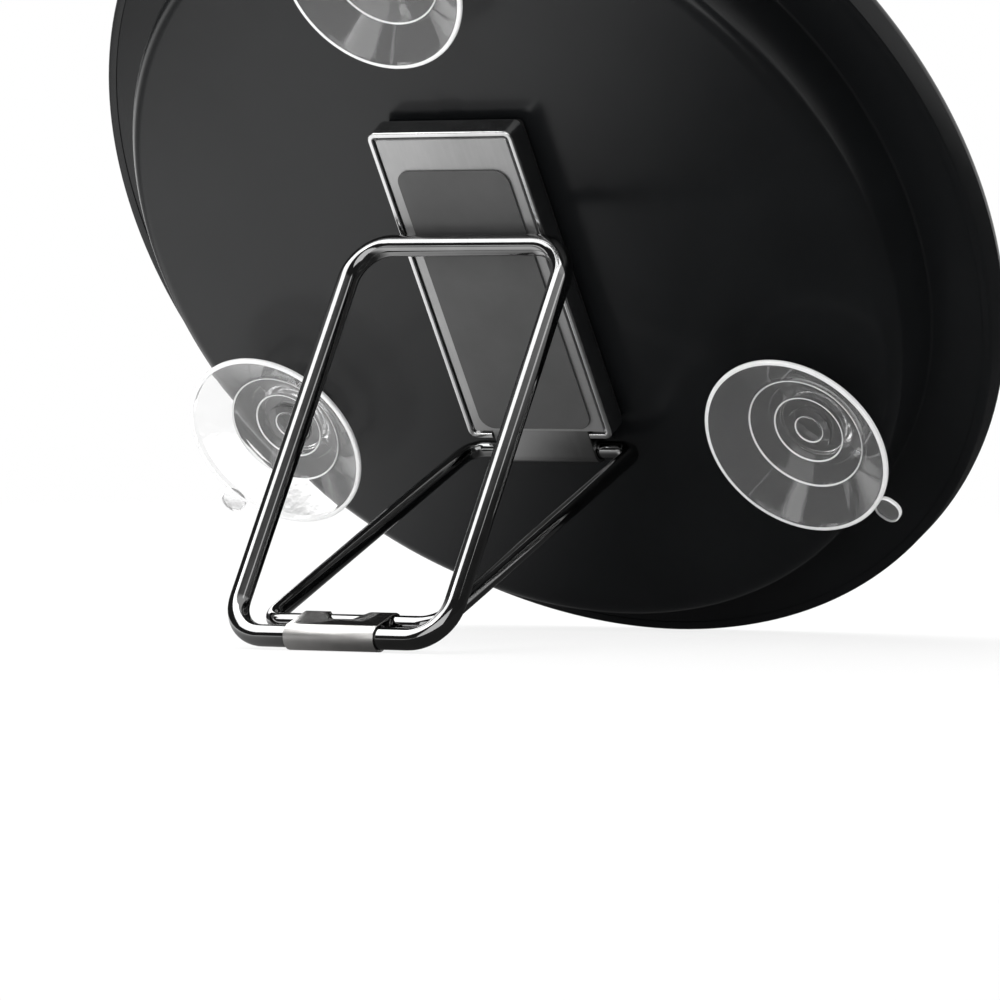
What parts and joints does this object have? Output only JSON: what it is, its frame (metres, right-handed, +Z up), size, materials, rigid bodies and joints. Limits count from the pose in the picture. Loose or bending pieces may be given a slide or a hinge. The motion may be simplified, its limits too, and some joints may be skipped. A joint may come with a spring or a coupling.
{
  "type": "suction cup magnifying mirror",
  "caption": "Round magnifying mirror in a plastic casing, with suction cups on its back and a hinged wire frame stand that also serves as a handle.",
  "frame": {"origin": "on the table, under the middle of the whole part as it stands", "axes": "+Z up, -Y the side that the glass faces, +Y the side of the cups and the stand, +X across the mirror"},
  "size_m": [0.16, 0.1084, 0.1372],
  "materials": {
    "casing": "black moulded plastic with a fine satin sheen",
    "mirror": "silvered dished glass",
    "foam": "dark closed-cell adhesive foam",
    "clear_vinyl": "clear glossy soft vinyl",
    "plate_metal": "gunmetal plating with a satin face and a bright edge",
    "film": "plain dark grey satin film",
    "black_chrome": "polished black chrome plating",
    "clip_metal": "satin plated sheet steel"
  },
  "bodies": {
    "mirror": {"front_bezel": "casing", "mirror_glass": "mirror", "glass_foam_ring": "foam", "rear_shell": "casing", "suction_cup_top": "clear_vinyl", "suction_cup_left": "clear_vinyl", "suction_cup_right": "clear_vinyl", "adhesive_pad": "foam", "base_tray": "plate_metal", "hinge_plate": "plate_metal", "label_film": "film"},
    "arm": {"arm_frame": "black_chrome"},
    "clip": {"hinge_clip": "clip_metal"},
    "loop": {"wire_loop": "black_chrome"}
  },
  "joints": [
    {"name": "arm_hinge", "type": "hinge", "parent": "mirror", "child": "arm", "pos_m": [0, -0.01116, 0.03039], "axis": [-1, 0, 0], "range_deg": [0, 98]},
    {"name": "clip_hinge", "type": "hinge", "parent": "arm", "child": "clip", "pos_m": [0, 0.04756, 0.00418], "axis": [-1, 0, 0], "range_deg": [0, 30]},
    {"name": "loop_hinge", "type": "hinge", "parent": "clip", "child": "loop", "pos_m": [0, 0.05208, 0.00216], "axis": [-1, 0, 0], "range_deg": [0, 180]}
  ]
}
